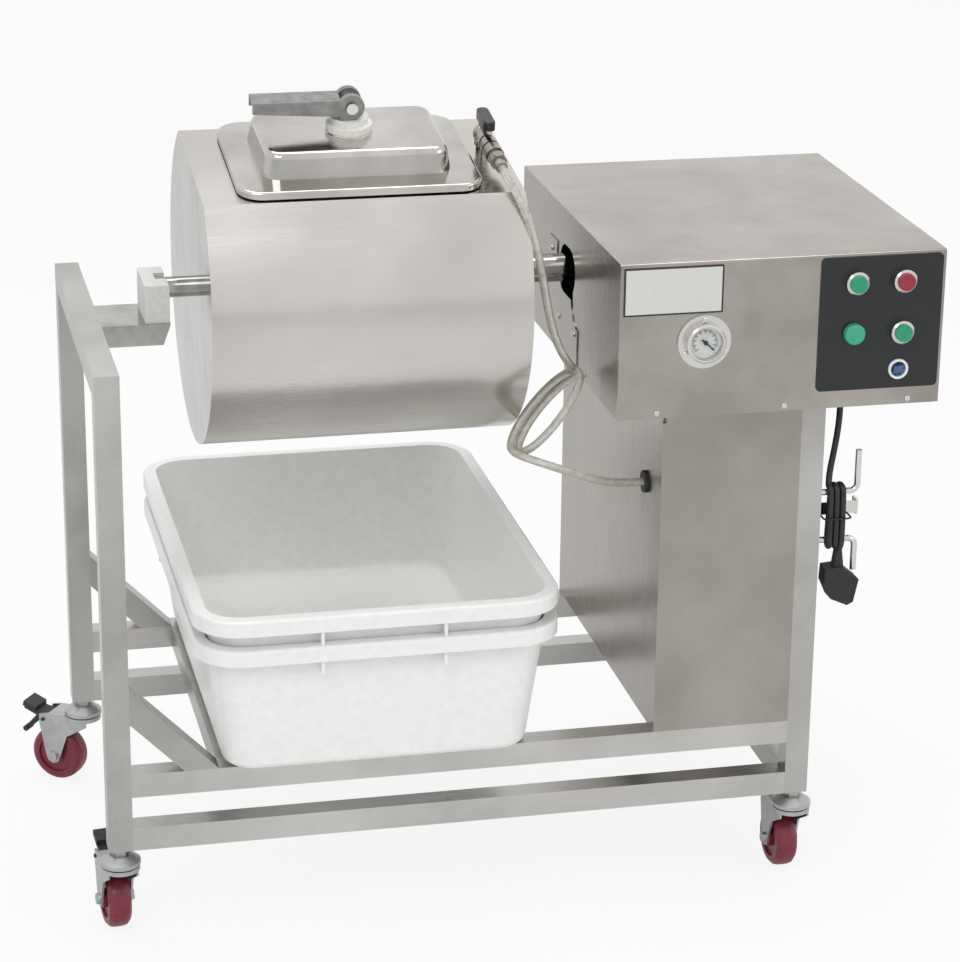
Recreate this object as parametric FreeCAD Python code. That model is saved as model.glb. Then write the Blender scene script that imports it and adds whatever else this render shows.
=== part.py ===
import FreeCAD, Part
import math
import os

# Tilting-lid vacuum tumbler on a wheeled tube frame. Units are millimetres, +Z is up,
# +X runs from the free bearing to the head box, -Y is the operator's side.
# Every shape is drawn from the outer left front foot of the frame (x = y = 0, z = 0 at
# the underside of the posts) and moved to the row's origin by put().

os.makedirs("parts", exist_ok=True)
V = FreeCAD.Vector

# ---- overall -------------------------------------------------------------------------
CASTER_H = 124.0        # floor to underside of the posts

# ---- frame ---------------------------------------------------------------------------
TUBE = 30.0             # square tube
TUBE_WALL = 1.5
FRAME_L = 890.0
FRAME_D = 490.0
LEFT_H = 608.0          # top of the left gantry
AXIS_RISE = 33.0        # drum axis above the gantry's top
AXIS_Z = LEFT_H + AXIS_RISE
AXIS_Y = FRAME_D / 2 - 3.0
RAIL_Z = 71.0           # underside of the upper rails
RAIL_TOP = RAIL_Z + TUBE
CROSS_X = 137.0         # left face of the cross bar under the tubs
BRACE_TOP = 210.0       # where the brace meets the post

# ---- drum ----------------------------------------------------------------------------
DRUM_X0 = 145.0
DRUM_L = 388.0
DRUM_X1 = DRUM_X0 + DRUM_L
DRUM_R = 195.0
DRUM_WALL = 2.0
FLAT_W = 158.0          # height of the flat above the axis
END_T = 3.0
DRUM_TILT = 9.5         # the drum rests turned this far towards the operator
STUB_R = 13.0
SLEEVE_R = 18.0
SHAFT_R = 12.5
RUN = 0.05              # radial running clearance
GAP = 0.3               # gap between pieces that move apart

# ---- lid -----------------------------------------------------------------------------
LID_X = DRUM_X0 + 192.0  # middle of the lid and of the mouth
LID_L = 297.0
LID_D = 221.0
LID_R = 30.0
LID_T = 2.0
MOUTH_L = 212.0
MOUTH_D = 132.0
DOME_L = 220.0
DOME_D = 138.0
DOME_W = 200.0          # top of the dome above the axis
FLANGE_W = 169.0        # top of the lid flange above the axis
WASHER_W = 217.4        # top of the washer above the axis
PIN_W = 233.5           # lever pin above the axis
PIN_R = 5.0
ROD_R = 6.0
EYE_R = 15.8            # round end of the lever
LEVER_L = 120.0         # pin to the lever's free end
LEVER_B = 34.0          # width of the lever
LEVER_TOP = 9.5         # pin to the lever's top face
BAR_L = 190.0

# ---- head box ------------------------------------------------------------------------
COLUMN_W = 206.0
HEAD_LEFT = 64.0        # the head reaches this far out on either side of the column
HEAD_RIGHT = 136.0
HEAD_DROP = 118.0       # drum axis above the head's underside
HEAD_H = 193.0
COL_X0 = FRAME_L - COLUMN_W
HEAD_X0 = COL_X0 - HEAD_LEFT
HEAD_X1 = FRAME_L + HEAD_RIGHT
HEAD_Y0 = -20.0
HEAD_Y1 = FRAME_D - 18.0
HEAD_Z = AXIS_Z - HEAD_DROP
HEAD_TOP = HEAD_Z + HEAD_H
SHEET = 1.5
PANEL_W = 154.0
PANEL_H = 167.0
PANEL_X1 = HEAD_X1 - 4.0
PANEL_X0 = PANEL_X1 - PANEL_W
PANEL_Z1 = HEAD_TOP - 4.0
PANEL_Z0 = PANEL_Z1 - PANEL_H
PANEL_T = 2.0
BTN_R = 10.9            # push-button cap
BEZEL_R = 14.5
BTN_TRAVEL = 4.0
ROW_HIGH, ROW_LOW = PANEL_Z0 + 136.0, PANEL_Z0 + 72.0
COL_NEAR, COL_FAR = PANEL_X0 + 44.0, PANEL_X0 + 104.0
ROCKER_X, ROCKER_Z = PANEL_X0 + 103.0, PANEL_Z0 + 24.0
GAUGE_X, GAUGE_Z = HEAD_X0 + 105.0, HEAD_Z + 94.0
GAUGE_R = 24.0
GAUGE_FLANGE_R = 33.0
GAUGE_PCD_R = 27.6
SCREW_R = 2.0
SCREW_HEAD_R = 3.6

# ---- tubs ----------------------------------------------------------------------------
TUB_W = 450.0
TUB_L = 604.0
TUB_X0 = 108.0
TUB_X1 = TUB_X0 + TUB_W
TUB_MID_Y = FRAME_D / 2 + 7.0
TUB_Y0, TUB_Y1 = TUB_MID_Y - TUB_L / 2, TUB_MID_Y + TUB_L / 2
TUB_H = 171.0
TUB_WALL = 2.5
TUB_LIP = 14.0          # width of the rim
TUB_RIM_H = 20.0
TUB_TAPER_X = 22.0
TUB_TAPER_Y = 18.0
TUB_NEST = 38.0         # height of the upper tub above the lower one

# ---- casters -------------------------------------------------------------------------
WHEEL_R = 37.5
WHEEL_B = 28.0
TRAIL = 38.0
STEM_R = 6.0
AXLE_R = 4.0

# ---- flexible lines ------------------------------------------------------------------
HOSE_R = 5.0
CORD_R = 4.0

# ---- middle of the overall length and depth ------------------------------------------
CASTER_REACH = 64.132   # the left casters reach this far past the posts
CENTRE_X = (HEAD_X1 - CASTER_REACH) / 2
CENTRE_Y = TUB_MID_Y


# ---- helpers -------------------------------------------------------------------------
def box(x0, x1, y0, y1, z0, z1):
    return Part.makeBox(x1 - x0, y1 - y0, z1 - z0, V(x0, y0, z0))


def cyl(r, length, base, axis):
    return Part.makeCylinder(r, length, V(*base), V(*axis))


def cone(r0, r1, length, base, axis):
    return Part.makeCone(r0, r1, length, V(*base), V(*axis))


def ring(r_out, r_in, length, base, axis):
    a = V(*axis)
    hole = Part.makeCylinder(r_in, length + 2, V(*base) - a * 1.0, a)
    return Part.makeCylinder(r_out, length, V(*base), a).cut(hole)


def join(shapes):
    out = shapes[0]
    for s in shapes[1:]:
        out = out.fuse(s)
    return out.removeSplitter()


def group(shapes):
    return Part.makeCompound(shapes)


def prism(points, push):
    """A closed polygon of 3-D points pushed along a vector."""
    pts = [V(*p) for p in points]
    return Part.Face(Part.makePolygon(pts + [pts[0]])).extrude(V(*push))


def round_rect(x0, x1, y0, y1, r, z):
    """A wire with rounded corners in the plane at height z."""
    k = r * math.sin(math.pi / 4)
    corners = [(x1 - r, y1 - r, 1, 1), (x0 + r, y1 - r, -1, 1),
               (x0 + r, y0 + r, -1, -1), (x1 - r, y0 + r, 1, -1)]
    edges = []
    ends = []
    for i, (cx, cy, sx, sy) in enumerate(corners):
        on_x, on_y = V(cx + sx * r, cy, z), V(cx, cy + sy * r, z)
        first, last = (on_x, on_y) if i % 2 == 0 else (on_y, on_x)
        ends.append((first, V(cx + sx * k, cy + sy * k, z), last))
    for i, (a, m, b) in enumerate(ends):
        edges.append(Part.Arc(a, m, b).toShape())
        nxt = ends[(i + 1) % 4][0]
        if (nxt - b).Length > 1e-6:
            edges.append(Part.makeLine(b, nxt))
    return Part.Wire(edges)


def slab(x0, x1, y0, y1, r, z0, z1):
    return Part.Face(round_rect(x0, x1, y0, y1, r, z0)).extrude(V(0, 0, z1 - z0))


def loft(wires):
    return Part.makeLoft(wires, True, True)


def tube(x0, x1, y0, y1, z0, z1):
    """Square tube along its longest side, open at both ends."""
    w = TUBE_WALL
    size = [x1 - x0, y1 - y0, z1 - z0]
    k = size.index(max(size))
    lo, hi = [x0 + w, y0 + w, z0 + w], [x1 - w, y1 - w, z1 - w]
    lo[k] -= w + 1
    hi[k] += w + 1
    return box(x0, x1, y0, y1, z0, z1).cut(box(lo[0], hi[0], lo[1], hi[1], lo[2], hi[2]))


def turn(shape, base, axis, deg):
    s = shape.copy()
    s.rotate(V(*base), V(*axis), deg)
    return s


def moved(shape, dx, dy, dz):
    s = shape.copy()
    s.translate(V(dx, dy, dz))
    return s


def on_drum(shape):
    """From drum axes (x, across the flat, up from the axis) to the frame's axes."""
    s = turn(shape, (0, 0, 0), (1, 0, 0), DRUM_TILT)
    return moved(s, 0, AXIS_Y, AXIS_Z)


def drum_point(x, v, w):
    c, s = math.cos(math.radians(DRUM_TILT)), math.sin(math.radians(DRUM_TILT))
    return (x, AXIS_Y + v * c - w * s, AXIS_Z + v * s + w * c)


def put(node, shape):
    s = moved(shape, -CENTRE_X, -CENTRE_Y, CASTER_H)
    s.exportStep("parts/" + node + ".step")
    b = s.BoundBox
    state = "ok" if s.isValid() else "INVALID"
    print("%-18s %s solids %d  x %.1f..%.1f y %.1f..%.1f z %.1f..%.1f" % (
        node, state, len(s.Solids), b.XMin, b.XMax, b.YMin, b.YMax, b.ZMin, b.ZMax))


def limp_tube(points, r):
    """A round tube along straight runs joined by tangent arcs."""
    pts = [V(*p) for p in points]
    edges, radii, at = [], [], pts[0]
    for i in range(1, len(pts) - 1):
        a, b = pts[i] - pts[i - 1], pts[i + 1] - pts[i]
        short = min(a.Length, b.Length)
        ua, ub = V(a).normalize(), V(b).normalize()
        half = math.acos(max(-1.0, min(1.0, ua.dot(ub)))) / 2
        cut = 0.45 * short
        radii.append(cut / math.tan(half))
        start, end = pts[i] - ua * cut, pts[i] + ub * cut
        inward = (ub - ua).normalize()
        mid = pts[i] + inward * (radii[-1] / math.cos(half) - radii[-1])
        edges.append(Part.LineSegment(at, start).toShape())
        edges.append(Part.Arc(start, mid, end).toShape())
        at = end
    edges.append(Part.LineSegment(at, pts[-1]).toShape())
    wire = Part.Wire(edges)
    first = (pts[1] - pts[0]).normalize()
    disc = Part.Wire([Part.makeCircle(r, pts[0], first)])
    solid = wire.makePipeShell([disc], True, True)
    want = math.pi * r * r * wire.Length
    print("  tube r %.1f: length %.0f, arc radii %.0f to %.0f, volume ratio %.4f" % (
        r, wire.Length, min(radii), max(radii), solid.Volume / want))
    return solid


# ======================================================================================
# Frame
# ======================================================================================
back = FRAME_D - TUBE
right = FRAME_L - TUBE
post_top = LEFT_H - TUBE
bar_end = [box(0, TUBE, y, y + TUBE_WALL, post_top, LEFT_H) for y in (0, FRAME_D - TUBE_WALL)]
posts = [tube(x, x + TUBE, y, y + TUBE, 0, top)
         for x, top in ((0, post_top), (right, HEAD_Z)) for y in (0, back)]
posts.append(tube(0, TUBE, TUBE_WALL, FRAME_D - TUBE_WALL, post_top, LEFT_H))
put("frame_posts", group(posts + bar_end))

rails = [tube(TUBE, right, y, y + TUBE, z, z + TUBE) for y in (0, back) for z in (0, RAIL_Z)]
put("long_rails", group(rails))

cross = [tube(CROSS_X, CROSS_X + TUBE, TUBE, back, RAIL_Z, RAIL_TOP),
         tube(right, FRAME_L, TUBE, back, RAIL_Z, RAIL_TOP),
         tube(right, FRAME_L, TUBE, back, 0, TUBE)]
drop = BRACE_TOP - RAIL_TOP
slope = drop / (CROSS_X - TUBE)
thick = TUBE * math.hypot(1, slope)          # the brace's height where it meets the post
foot = thick / slope                         # its length where it stands on the rail
wall = TUBE_WALL * math.hypot(1, slope)
for y in (0, back):
    outer = prism([(TUBE, y, BRACE_TOP), (CROSS_X, y, RAIL_TOP), (CROSS_X - foot, y, RAIL_TOP),
                   (TUBE, y, BRACE_TOP - thick)], (0, TUBE, 0))
    inner = prism([(TUBE - 5, y + TUBE_WALL, BRACE_TOP - wall + 5 * slope),
                   (CROSS_X + 5 - wall / slope, y + TUBE_WALL, RAIL_TOP - 5 * slope),
                   (CROSS_X + 5 - foot + wall / slope, y + TUBE_WALL, RAIL_TOP - 5 * slope),
                   (TUBE - 5, y + TUBE_WALL, BRACE_TOP - thick + wall + 5 * slope)],
                  (0, TUBE - 2 * TUBE_WALL, 0))
    cross.append(outer.cut(inner))
put("cross_braces", group(cross))

# folded shelf for the free bearing, welded to the inside of the gantry's top bar
BLOCK_T = 30.0           # length of the bearing block along the axis
BLOCK_X1 = DRUM_X0 - 31.0
BLOCK_X0 = BLOCK_X1 - BLOCK_T
SHELF_X1 = BLOCK_X1
SHELF_Y0, SHELF_Y1 = AXIS_Y - 45.0, AXIS_Y + 47.0
SHELF_T = 2.0
SHELF_FOLD = 27.0
SHELF_CUT = 9.0
shelf = box(TUBE, SHELF_X1, SHELF_Y0, SHELF_Y1, LEFT_H - SHELF_T, LEFT_H)
fold = [(TUBE, 0, LEFT_H - SHELF_FOLD), (SHELF_X1 - SHELF_CUT, 0, LEFT_H - SHELF_FOLD),
        (SHELF_X1, 0, LEFT_H - SHELF_T), (TUBE, 0, LEFT_H - SHELF_T)]
folds = [moved(prism(fold, (0, SHELF_T, 0)), 0, y, 0) for y in (SHELF_Y0, SHELF_Y1 - SHELF_T)]
put("bearing_shelf", join([shelf] + folds))

BLOCK_Y0, BLOCK_Y1 = AXIS_Y - 42.0, AXIS_Y + 42.0
BLOCK_TOP = AXIS_Z + 15.0
SLOT_X = BLOCK_X0 + 16.0  # blind end of the slot
STUB_X0 = SLOT_X + 1.0
block = box(BLOCK_X0, BLOCK_X1, BLOCK_Y0, BLOCK_Y1, LEFT_H, BLOCK_TOP)
block = block.makeFillet(1.5, [e for e in block.Edges if abs(e.BoundBox.ZMin - BLOCK_TOP) < 0.1])
slot_r = STUB_R + RUN
block = block.cut(cyl(slot_r, 40, (SLOT_X, AXIS_Y, AXIS_Z), (1, 0, 0)))
block = block.cut(box(SLOT_X, 140, AXIS_Y - slot_r, AXIS_Y + slot_r, AXIS_Z, BLOCK_TOP + 5))
put("bearing_block", block)

# ======================================================================================
# Column and head box
# ======================================================================================
INNER_X0 = COL_X0 + SHEET + 1.0
inner_posts = [tube(INNER_X0, INNER_X0 + TUBE, y, y + TUBE, RAIL_TOP, HEAD_Z - TUBE)
               for y in (SHEET + 1, FRAME_D - TUBE - SHEET - 3)]
top_rails = [tube(INNER_X0, right, y, y + TUBE, HEAD_Z - TUBE, HEAD_Z)
             for y in (SHEET + 1, FRAME_D - TUBE - SHEET - 3)]
floor_plate = box(INNER_X0 + TUBE + 1, right - 3, SHEET + 1, FRAME_D - 5, RAIL_TOP, RAIL_TOP + 2)
put("column_frame", group(inner_posts + top_rails + [floor_plate]))

COL_Y1 = FRAME_D - 2.0
GROMMET_Y, GROMMET_Z = 68.0, HEAD_Z - 112.0
GROMMET_HOLE_R = 10.0
col_front = box(COL_X0, right, 0, SHEET, RAIL_TOP, HEAD_Z)
col_left = box(COL_X0, COL_X0 + SHEET, 0, COL_Y1, RAIL_TOP, HEAD_Z)
col_back = box(COL_X0, right, COL_Y1 - SHEET, COL_Y1, RAIL_TOP, HEAD_Z)
cover = join([col_front, col_left, col_back])
cover = cover.cut(cyl(GROMMET_HOLE_R, 10, (COL_X0 - 5, GROMMET_Y, GROMMET_Z), (1, 0, 0)))
cover = cover.cut(box(COL_X0 - 1, COL_X0 + 4, -1, 4, HEAD_Z - 14, HEAD_Z + 1))
side = box(right - SHEET - 0.5, right - 0.5, TUBE + 1, back - 1, RAIL_TOP, HEAD_Z - TUBE - 1)
put("column_panels", group([cover, side]))

GROMMET_R = 14.0
g = ring(GROMMET_R, HOSE_R + GAP, 9.5, (COL_X0 - 4, GROMMET_Y, GROMMET_Z), (1, 0, 0))
groove = ring(GROMMET_R + 5, GROMMET_HOLE_R - 0.1, SHEET + 0.1,
              (COL_X0 - 0.05, GROMMET_Y, GROMMET_Z), (1, 0, 0))
put("hose_grommet", g.cut(groove))

# base pan of the head: bottom, two sides and a low fold along the front and back
hx0, hx1 = HEAD_X0, HEAD_X1
hy0, hy1 = HEAD_Y0 + SHEET + 0.1, HEAD_Y1 - SHEET - 0.1
FOLD_H = 14.0
pan = box(hx0, hx1, hy0, hy1, HEAD_Z, HEAD_TOP - SHEET - 0.1)
pan = pan.cut(box(hx0 + SHEET, hx1 - SHEET, hy0 + SHEET, hy1 - SHEET, HEAD_Z + SHEET, HEAD_TOP))
for y0, y1 in ((hy0 - 1, hy0 + SHEET), (hy1 - SHEET, hy1 + 1)):
    pan = pan.cut(box(hx0 + SHEET, hx1 - SHEET, y0, y1, HEAD_Z + FOLD_H, HEAD_TOP))
HOLE_R = 29.0
HOLE_SHIFT = 20.0
SLOT_HALF = 40.0
for y in (AXIS_Y, AXIS_Y - HOLE_SHIFT):
    pan = pan.cut(cyl(HOLE_R, SHEET + 2, (hx0 - 1, y, AXIS_Z), (1, 0, 0)))
pan = pan.cut(box(hx0 - 1, hx0 + SHEET + 1, AXIS_Y - HOLE_SHIFT, AXIS_Y,
                  AXIS_Z - HOLE_R, AXIS_Z + HOLE_R))
pan = pan.cut(box(hx0 - 1, hx0 + SHEET + 1, AXIS_Y - SLOT_HALF, AXIS_Y + SLOT_HALF - HOLE_SHIFT,
                  HEAD_Z + FOLD_H, AXIS_Z))
CORD_X, CORD_Y = FRAME_L + 34.0, 44.0
GLAND_HOLE_R = 8.0
pan = pan.cut(cyl(GLAND_HOLE_R, 10, (CORD_X, CORD_Y, HEAD_Z - 5), (0, 0, 1)))

# plate over the drop-in slot, notched round the shaft
plate_t = 1.5
PLATE_Y0, PLATE_Y1 = AXIS_Y - 69.0, AXIS_Y + 80.0
PLATE_TOP = AXIS_Z + 23.0
plate = box(hx0 - plate_t, hx0, PLATE_Y0, PLATE_Y1, HEAD_Z + 2, PLATE_TOP)
plate = plate.cut(cyl(33.0, 10, (hx0 - 5, AXIS_Y, AXIS_Z), (1, 0, 0)))
plate = plate.cut(box(hx0 - 5, hx0 + 1, PLATE_Y0 - 1, AXIS_Y, AXIS_Z - 33.0, PLATE_TOP + 1))
plate = plate.cut(cyl(34.0, 10, (hx0 - 5, PLATE_Y0, AXIS_Z - 30), (1, 0, 0)))
plate = plate.cut(box(hx0 - 5, hx0 + 1, AXIS_Y - 1, AXIS_Y + 40, AXIS_Z + 8, PLATE_TOP + 1))

# cover of the head: one sheet folded over the front, top and back
lid_box = box(hx0, hx1, HEAD_Y0, HEAD_Y1, HEAD_Z, HEAD_TOP)
top_edges = [e for e in lid_box.Edges
             if abs(e.BoundBox.ZMin - HEAD_TOP) < 0.1 and e.BoundBox.XLength > 100]
lid_box = lid_box.makeFillet(3.0, top_edges)
hollow = box(hx0 - 5, hx1 + 5, HEAD_Y0 + SHEET, HEAD_Y1 - SHEET, HEAD_Z - 5, HEAD_TOP - SHEET)
hollow_edges = [e for e in hollow.Edges
                if abs(e.BoundBox.ZMin - HEAD_TOP + SHEET) < 0.1 and e.BoundBox.XLength > 100]
head_cover = lid_box.cut(hollow.makeFillet(1.5, hollow_edges))

front = HEAD_Y0                     # outer face of the front sheet
face = HEAD_Y0 - PANEL_T            # outer face of the control panel
SWITCH_R = 11.2                     # hole for a panel switch
LAMP_XZ = (COL_NEAR, ROW_LOW)
BUTTONS = {"vacuum_button": (COL_NEAR, ROW_HIGH), "stop_button": (COL_FAR, ROW_HIGH),
           "start_button": (COL_FAR, ROW_LOW)}
holes = list(BUTTONS.values()) + [LAMP_XZ, (ROCKER_X, ROCKER_Z)]
panel = slab(PANEL_X0, PANEL_X1, PANEL_Z0, PANEL_Z1, 6.0, 0, PANEL_T)
panel = turn(panel, (0, 0, 0), (1, 0, 0), 90)          # z becomes -y, y becomes z
panel = moved(panel, 0, front, 0)
for x, z in holes:
    drill = cyl(SWITCH_R, 20, (x, front - 10, z), (0, 1, 0))
    panel = panel.cut(drill)
    head_cover = head_cover.cut(drill)
CAN_R = 21.0
head_cover = head_cover.cut(cyl(CAN_R + 0.5, 20, (GAUGE_X, front - 10, GAUGE_Z), (0, 1, 0)))

# identical pan-head screws
LIP_Z = HEAD_Z + 6.5
front_screws = [(x, front, LIP_Z) for x in (HEAD_X0 + 49.0, HEAD_X0 + 209.0, HEAD_X1 - 40.0)]
gauge_screws = [(GAUGE_X + GAUGE_PCD_R * math.cos(math.radians(a)), front - 3.0,
                 GAUGE_Z + GAUGE_PCD_R * math.sin(math.radians(a))) for a in (90, 210, 330)]
plate_screws = [(hx0 - plate_t, AXIS_Y + dy, AXIS_Z + dz)
                for dy, dz in ((64.0, 8.0), (23.0, -71.5), (-55.0, -72.0))]
lip_screw = (hx0, AXIS_Y - 103.0, HEAD_Z + 7.0)
SHANK = 5.0


def screw(at, axis):
    a = V(*axis)
    p = V(*at)
    head = Part.makeCylinder(SCREW_HEAD_R, 2.2, p - a * 2.2, a)
    head = head.makeFillet(1.3, [head.Edges[0] if head.Edges[0].CenterOfMass.distanceToPoint(
        p - a * 2.2) < 0.5 else head.Edges[2]])
    return head.fuse(Part.makeCylinder(SCREW_R, SHANK, p, a)).removeSplitter()


def screw_hole(at, axis):
    a = V(*axis)
    return Part.makeCylinder(SCREW_R + 0.1, 12, V(*at) - a * 3, a)


screws = []
for at in front_screws:
    head_cover = head_cover.cut(screw_hole(at, (0, 1, 0)))
    pan = pan.cut(screw_hole(at, (0, 1, 0)))
    screws.append(screw(at, (0, 1, 0)))
    rear = (at[0], HEAD_Y1, at[2])
    head_cover = head_cover.cut(screw_hole(rear, (0, -1, 0)))
    pan = pan.cut(screw_hole(rear, (0, -1, 0)))
    screws.append(screw(rear, (0, -1, 0)))
for at in gauge_screws:
    head_cover = head_cover.cut(screw_hole(at, (0, 1, 0)))
    screws.append(screw(at, (0, 1, 0)))
for at in plate_screws:
    plate = plate.cut(screw_hole(at, (1, 0, 0)))
    pan = pan.cut(screw_hole(at, (1, 0, 0)))
    screws.append(screw(at, (1, 0, 0)))
pan = pan.cut(screw_hole(lip_screw, (1, 0, 0)))
screws.append(screw(lip_screw, (1, 0, 0)))
put("panel_screws", group(screws))
put("head_base", pan)
put("slot_plate", plate)
put("head_cover", head_cover)
put("control_panel", panel)

# ---- control panel items ----
BEZEL_Y = face - 11.0               # front of a button's bezel
CAP_Y = BEZEL_Y - 3.5               # front of a button's cap
bezels, bodies = [], []
for x, z in BUTTONS.values():
    b = ring(BEZEL_R, BTN_R + RUN, 11.0, (x, BEZEL_Y, z), (0, 1, 0))
    outer = [e for e in b.Edges if abs(e.BoundBox.YMin - BEZEL_Y) < 0.1
             and e.BoundBox.XLength > 2 * BTN_R + 2]
    bezels.append(b.makeChamfer(2.0, outer[:1]))
for x, z in holes[:4]:
    body = cyl(SWITCH_R - 0.2, 46.0, (x, face, z), (0, 1, 0))
    nut = ring(BEZEL_R, SWITCH_R - 0.2, 4.0, (x, front + SHEET, z), (0, 1, 0))
    block_y = front + SHEET + 6
    block = box(x - 14, x + 14, block_y, block_y + 34, z - 12, z + 12)
    body = join([body, nut, block])
    if (x, z) != LAMP_XZ:
        body = body.cut(cyl(5.0 + RUN, 20, (x, face - 1, z), (0, 1, 0)))
    bodies.append(body)
ROCKER_R = 12.5
rim = ring(ROCKER_R, 9.6, 3.0, (ROCKER_X, face - 3.0, ROCKER_Z), (0, 1, 0))
well = ring(SWITCH_R - 0.2, 9.6, 24.0, (ROCKER_X, face, ROCKER_Z), (0, 1, 0))
well_end = cyl(SWITCH_R - 0.2, 2.0, (ROCKER_X, face + 24, ROCKER_Z), (0, 1, 0))
rocker_case = join([rim, well, well_end])
ROCKER_PIN_Y = face + 4.0
rocker_case = rocker_case.cut(cyl(1.5 + RUN, 21.4, (ROCKER_X, ROCKER_PIN_Y, ROCKER_Z - 10.7), (0, 0, 1)))
bodies.append(rocker_case)
put("button_bezels", group(bezels))
put("switch_bodies", group(bodies))
lamp = cyl(BEZEL_R - 1.5, 9.0, (LAMP_XZ[0], face - 9.0, LAMP_XZ[1]), (0, 1, 0))
lamp = lamp.makeFillet(3.0, [e for e in lamp.Edges
                             if abs(e.BoundBox.YMin - (face - 9.0)) < 0.1 and e.BoundBox.YLength < 0.1])
put("pilot_lamp", lamp)
for name, (x, z) in BUTTONS.items():
    cap = cyl(BTN_R, 8.0, (x, CAP_Y, z), (0, 1, 0))
    cap = cap.makeFillet(1.2, [e for e in cap.Edges
                               if abs(e.BoundBox.YMin - CAP_Y) < 0.1 and e.BoundBox.YLength < 0.1])
    stem = cyl(5.0, 9.0, (x, CAP_Y + 8.0, z), (0, 1, 0))
    put(name, join([cap, stem]))
wedge = [(-7.2, 0.5), (-6.6, -6.0), (0, -4.2), (6.6, -2.6), (7.2, 3.0), (0, 6.0)]
rocker = prism([(ROCKER_X + a, face + b, ROCKER_Z - 4.4) for a, b in wedge], (0, 0, 8.8))
rocker = rocker.fuse(cyl(1.5, 20.8, (ROCKER_X, ROCKER_PIN_Y, ROCKER_Z - 10.4), (0, 0, 1)))
put("rocker", rocker.removeSplitter())

PLATE_NAME = (HEAD_X0 + 4.5, HEAD_X0 + 127.0, HEAD_TOP - 64.0, HEAD_TOP - 5.0)
name_plate = slab(PLATE_NAME[0], PLATE_NAME[1], PLATE_NAME[2], PLATE_NAME[3], 1.5, 0, 1.0)
name_plate = moved(turn(name_plate, (0, 0, 0), (1, 0, 0), 90), 0, front, 0)
put("name_plate", name_plate)

# ---- vacuum gauge ----
g_flange = ring(GAUGE_FLANGE_R, 19.0, 3.0, (GAUGE_X, front - 3.0, GAUGE_Z), (0, 1, 0))
for at in gauge_screws:
    g_flange = g_flange.cut(screw_hole(at, (0, 1, 0)))
can = cyl(CAN_R, 30.0, (GAUGE_X, front - 3.0, GAUGE_Z), (0, 1, 0))
hub = ring(GAUGE_R, CAN_R - 0.5, 12.0, (GAUGE_X, front - 15.0, GAUGE_Z), (0, 1, 0))
hub = hub.makeChamfer(1.5, [e for e in hub.Edges if abs(e.BoundBox.YMin - (front - 15)) < 0.1
                            and e.BoundBox.XLength > 2 * GAUGE_R - 1][:1])
port = cyl(6.5, 14.0, (GAUGE_X, front + 27.0, GAUGE_Z), (0, 1, 0))
put("gauge_case", join([g_flange, can, hub, port]))
DIAL_Y = front - 4.0
LENS_Y = front - 13.0
dial = cyl(CAN_R - 0.6, 1.0, (GAUGE_X, DIAL_Y, GAUGE_Z), (0, 1, 0))
dial = dial.cut(cyl(1.0 + RUN, 3, (GAUGE_X, DIAL_Y - 1, GAUGE_Z), (0, 1, 0)))
put("gauge_dial", dial)
lens = cyl(CAN_R - 0.6, 1.5, (GAUGE_X, LENS_Y, GAUGE_Z), (0, 1, 0))
put("gauge_lens", lens)
needle = prism([(GAUGE_X - 1.2, DIAL_Y - 3.5, GAUGE_Z - 6), (GAUGE_X + 1.2, DIAL_Y - 3.5, GAUGE_Z - 6),
                (GAUGE_X + 0.5, DIAL_Y - 3.5, GAUGE_Z + 15), (GAUGE_X - 0.5, DIAL_Y - 3.5, GAUGE_Z + 15)],
               (0, 0.8, 0))
boss = cyl(2.6, 2.2, (GAUGE_X, DIAL_Y - 4.5, GAUGE_Z), (0, 1, 0))
spindle = cyl(1.0, 3.2, (GAUGE_X, DIAL_Y - 2.3, GAUGE_Z), (0, 1, 0))
POINTER_DEG = 131.0                # where the needle rests, clockwise from the top
pointer = turn(join([needle, boss, spindle]), (GAUGE_X, DIAL_Y, GAUGE_Z), (0, 1, 0), POINTER_DEG)
put("gauge_pointer", pointer)

# ---- inside the head: bearings on a folded stand, hollow-shaft gear motor ----
STAND_Z = AXIS_Z - 36.5
base_z = HEAD_Z + SHEET
STAND_X0, STAND_X1 = HEAD_X0 + 16.0, HEAD_X0 + 129.0
stand = box(STAND_X0, STAND_X1, AXIS_Y - 62, AXIS_Y + 62, base_z, STAND_Z)
stand = stand.cut(box(STAND_X0 - 5, STAND_X1 + 5, AXIS_Y - 59, AXIS_Y + 59, base_z - 1, STAND_Z - 3))
pillows = [stand]
BEARING_X = (STAND_X0 + 28.0, STAND_X1 - 17.0)
for x in BEARING_X:
    foot_b = box(x - 17, x + 17, AXIS_Y - 58, AXIS_Y + 58, STAND_Z, STAND_Z + 14)
    shell = cyl(34, 30, (x - 15, AXIS_Y, AXIS_Z), (1, 0, 0))
    p = join([foot_b, shell.cut(box(x - 40, x + 40, 0, 500, 0, STAND_Z))])
    pillows.append(p.cut(cyl(SHAFT_R + RUN, 60, (x - 30, AXIS_Y, AXIS_Z), (1, 0, 0))))
put("shaft_bearings", group(pillows))
GEAR_X0 = STAND_X1 + 21.0
GEAR_X1 = GEAR_X0 + 80.0
gear = box(GEAR_X0, GEAR_X1, AXIS_Y - 52, AXIS_Y + 52, AXIS_Z - 95, AXIS_Z + 63)
gear = gear.makeFillet(10.0, [e for e in gear.Edges if e.BoundBox.XLength > 50])
feet = box(GEAR_X0 - 8, GEAR_X1 + 8, AXIS_Y - 62, AXIS_Y + 62, base_z, AXIS_Z - 93)
hubs = cyl(30, 96, (GEAR_X0 - 8, AXIS_Y, AXIS_Z), (1, 0, 0))
MOTOR_Z = AXIS_Z - 50.0
mid_x = (GEAR_X0 + GEAR_X1) / 2
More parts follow.
